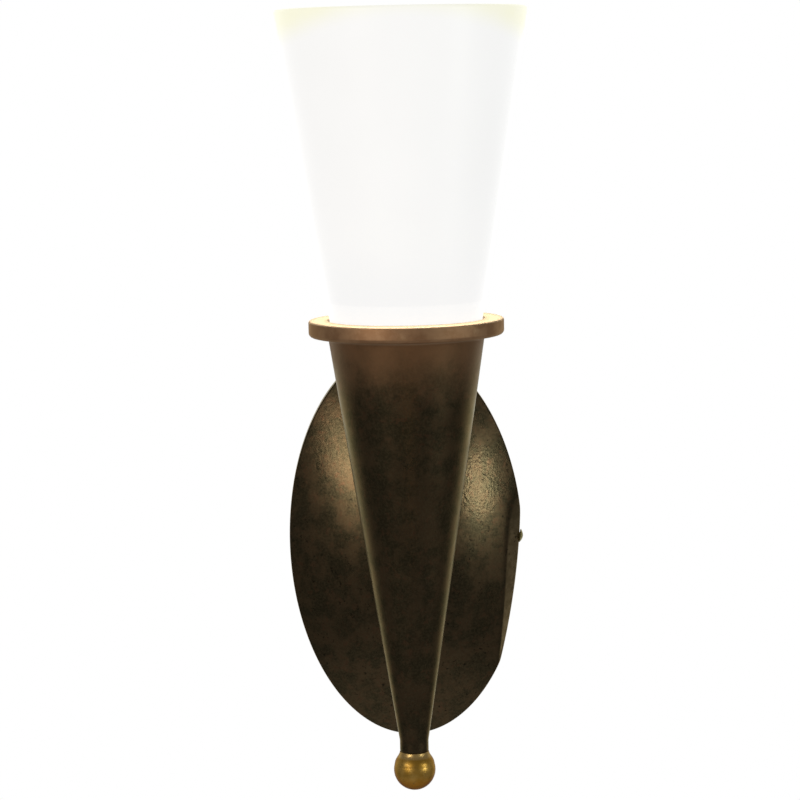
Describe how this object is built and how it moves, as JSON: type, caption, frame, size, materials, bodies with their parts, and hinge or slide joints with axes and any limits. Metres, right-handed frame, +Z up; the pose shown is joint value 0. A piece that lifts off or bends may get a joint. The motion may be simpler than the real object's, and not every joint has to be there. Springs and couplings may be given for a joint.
{
  "type": "torch wall sconce",
  "caption": "Wall light: a tall tapered opal glass shade dropped into a dark bronze cone with a ball finial, on an arm from an oval domed backplate.",
  "frame": {"origin": "middle of the oval backplate, on the wall, halfway between the bracket's two fixing slots", "axes": "+Z up along the torch, +Y into the wall, +X to the right of someone who faces the wall"},
  "size_m": [0.122, 0.139, 0.3843],
  "materials": {
    "bronze_cone": "dark oiled patina, satin",
    "bronze_plate": "dark oiled patina with fine pits",
    "bronze_arm": "dark oiled patina, satin",
    "aged_brass": "aged, lightly worn",
    "screw_brass": "dull",
    "plain_brass": "machined",
    "zinc_steel": "zinc plated",
    "green_steel": "green dye",
    "cup_steel": "drawn and plated",
    "lamp_metal": "rolled thread",
    "solder": "dull",
    "black_moulding": "moulded",
    "card_liner": "plain",
    "bushing_plastic": "moulded",
    "connector_plastic": "ribbed moulding",
    "wire_black": "satin insulation",
    "wire_white": "satin insulation",
    "wire_green": "satin insulation",
    "gasket_silicone": "soft",
    "opal_glass": "satin opal, lit from inside",
    "lamp_glass": "frosted, lit",
    "stem_glass": "clear"
  },
  "bodies": {
    "fixture": {"mounting_bracket": "zinc_steel", "locating_stud": "zinc_steel", "ground_screw": "green_steel", "backplate": "bronze_plate", "arm_tube": "bronze_arm", "arm_nipple": "zinc_steel", "arm_nut": "plain_brass", "arm_washer": "zinc_steel", "nipple_bushing": "bushing_plastic", "cone_boss": "plain_brass", "torch_cone": "bronze_cone", "centre_pipe": "zinc_steel", "cup_nut": "plain_brass", "holder_cup": "cup_steel", "holder_cap": "plain_brass", "holder_set_screw": "zinc_steel", "holder_shell": "plain_brass", "holder_liner": "card_liner", "holder_core": "black_moulding", "holder_screw_shell": "lamp_metal", "holder_contact": "plain_brass", "terminal_screws": "plain_brass", "lead_black": "wire_black", "lead_white": "wire_white", "lead_ground": "wire_green", "wire_connectors": "connector_plastic", "shade_gasket": "gasket_silicone"},
    "shade": {"glass_shade": "opal_glass"},
    "lamp": {"lamp_base": "lamp_metal", "lamp_insulator": "black_moulding", "lamp_contact": "solder", "lamp_stem": "stem_glass", "lamp_filament": "solder", "lamp_bulb": "lamp_glass"},
    "finial": {"ball_finial": "aged_brass"},
    "screw": {"side_screw": "screw_brass"}
  },
  "joints": [
    {"name": "shade_lift", "type": "slide", "parent": "fixture", "child": "shade", "axis": [0, 0, 1], "range_m": [0, 0.1]},
    {"name": "lamp_turn", "type": "hinge", "parent": "fixture", "child": "lamp", "pos_m": [0, -0.078, 0.095], "axis": [0, 0, 1], "range_deg": [0, 720]},
    {"name": "finial_turn", "type": "hinge", "parent": "fixture", "child": "finial", "pos_m": [0, -0.078, -0.1], "axis": [0, 0, -1], "range_deg": [0, 720]},
    {"name": "side_screw_turn", "type": "hinge", "parent": "fixture", "child": "screw", "pos_m": [0.05888, -0.0042, 0.0014], "axis": [0.9882, 0, -0.1531], "range_deg": [0, 720]}
  ]
}
